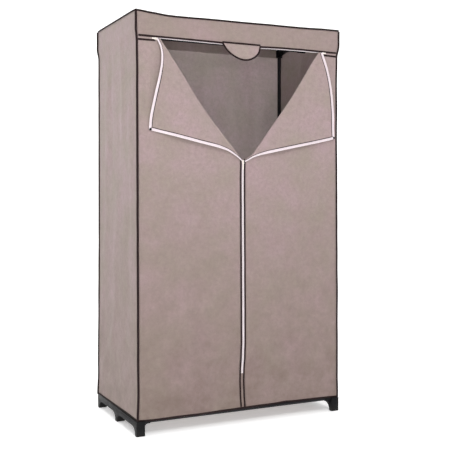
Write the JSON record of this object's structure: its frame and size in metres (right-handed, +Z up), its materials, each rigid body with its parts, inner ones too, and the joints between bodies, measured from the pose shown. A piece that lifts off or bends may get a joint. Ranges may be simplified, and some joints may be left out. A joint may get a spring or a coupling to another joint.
{
  "type": "portable_fabric_wardrobe",
  "caption": "Portable fabric wardrobe: black tube frame on moulded base rails, taupe cover with dark bindings, a centre zip and two door corners folded open over a hanging rail.",
  "frame": {"origin": "bottom centre of the box: on the floor, in the middle of the footprint", "axes": "+Z up, +X to the right of someone facing the front, the front at -Y"},
  "size_m": [0.9, 0.5024, 1.6],
  "materials": {
    "cover_cloth": "woven",
    "binding_tape": "woven",
    "zip_tape": "woven",
    "moulded_plastic": "moulded",
    "painted_tube": "satin",
    "zip_slider": "satin",
    "stud_plastic": "satin"
  },
  "bodies": {
    "root": {"base_rail_left": "moulded_plastic", "base_rail_right": "moulded_plastic", "base_tube_front": "painted_tube", "base_tube_rear": "painted_tube", "post_front_left_lower": "painted_tube", "post_front_left_upper": "painted_tube", "post_front_right_lower": "painted_tube", "post_front_right_upper": "painted_tube", "post_rear_left_lower": "painted_tube", "post_rear_left_upper": "painted_tube", "post_rear_right_lower": "painted_tube", "post_rear_right_upper": "painted_tube", "corner_connector_front_left": "moulded_plastic", "corner_connector_front_right": "moulded_plastic", "corner_connector_rear_left": "moulded_plastic", "corner_connector_rear_right": "moulded_plastic", "top_tube_front": "painted_tube", "top_tube_rear": "painted_tube", "top_tube_left": "painted_tube", "top_tube_right": "painted_tube", "rail_connector_left": "moulded_plastic", "rail_connector_right": "moulded_plastic", "hanging_rail": "painted_tube", "cover_side_left": "cover_cloth", "cover_side_right": "cover_cloth", "cover_back": "cover_cloth", "cover_top": "cover_cloth", "base_panel": "cover_cloth", "valance": "cover_cloth", "door_left": "cover_cloth", "door_right": "cover_cloth", "edge_binding_front_left": "binding_tape", "edge_binding_front_right": "binding_tape", "edge_binding_rear_left": "binding_tape", "edge_binding_rear_right": "binding_tape", "top_binding": "binding_tape", "hem_binding": "binding_tape", "valance_binding": "binding_tape", "door_top_binding_left": "binding_tape", "door_top_binding_right": "binding_tape", "centre_binding_left": "binding_tape", "centre_binding_right": "binding_tape", "zip_tape_top": "zip_tape", "zip_tape_centre_left": "zip_tape", "zip_tape_centre_right": "zip_tape", "door_stud_left": "stud_plastic", "door_stud_right": "stud_plastic"},
    "left_flap": {"flap_left": "cover_cloth", "flap_tape_left": "zip_tape", "flap_stud_left": "stud_plastic"},
    "right_flap": {"flap_right": "cover_cloth", "flap_tape_right": "zip_tape", "flap_stud_right": "stud_plastic"},
    "tab": {"half_moon_tab": "cover_cloth"},
    "centre_slider": {"slider_centre": "zip_slider"},
    "centre_pull": {"pull_centre": "zip_slider"},
    "top_left_slider": {"slider_top_left": "zip_slider"},
    "top_left_pull": {"pull_top_left": "zip_slider"},
    "top_right_slider": {"slider_top_right": "zip_slider"},
    "top_right_pull": {"pull_top_right": "zip_slider"}
  },
  "joints": [
    {"name": "left_flap_fold", "type": "hinge", "parent": "root", "child": "left_flap", "pos_m": [-0.366, -0.2437, 1.498], "axis": [-0.6327, 0, 0.7744], "range_deg": [0, 177.4]},
    {"name": "right_flap_fold", "type": "hinge", "parent": "root", "child": "right_flap", "pos_m": [0.366, -0.2437, 1.498], "axis": [-0.6327, 0, -0.7744], "range_deg": [0, 177.4]},
    {"name": "tab_lift", "type": "hinge", "parent": "root", "child": "tab", "pos_m": [0, -0.2469, 1.5082], "axis": [-1, 0, 0], "range_deg": [0, 160]},
    {"name": "centre_zip", "type": "slide", "parent": "root", "child": "centre_slider", "axis": [0, 0, 1], "range_m": [-0.843, 0.443]},
    {"name": "centre_pull_swing", "type": "hinge", "parent": "centre_slider", "child": "centre_pull", "pos_m": [0, -0.2446, 1.0385], "axis": [-1, 0, 0], "range_deg": [0, 150]},
    {"name": "top_zip_left", "type": "slide", "parent": "root", "child": "top_left_slider", "axis": [1, 0, 0], "range_m": [0, 0.3552]},
    {"name": "top_left_pull_swing", "type": "hinge", "parent": "top_left_slider", "child": "top_left_pull", "pos_m": [-0.3692, -0.2446, 1.498], "axis": [0, 0, 1], "range_deg": [0, 170]},
    {"name": "top_zip_right", "type": "slide", "parent": "root", "child": "top_right_slider", "axis": [-1, 0, 0], "range_m": [0, 0.3552]},
    {"name": "top_right_pull_swing", "type": "hinge", "parent": "top_right_slider", "child": "top_right_pull", "pos_m": [0.3692, -0.2446, 1.498], "axis": [0, 0, -1], "range_deg": [0, 170]}
  ]
}
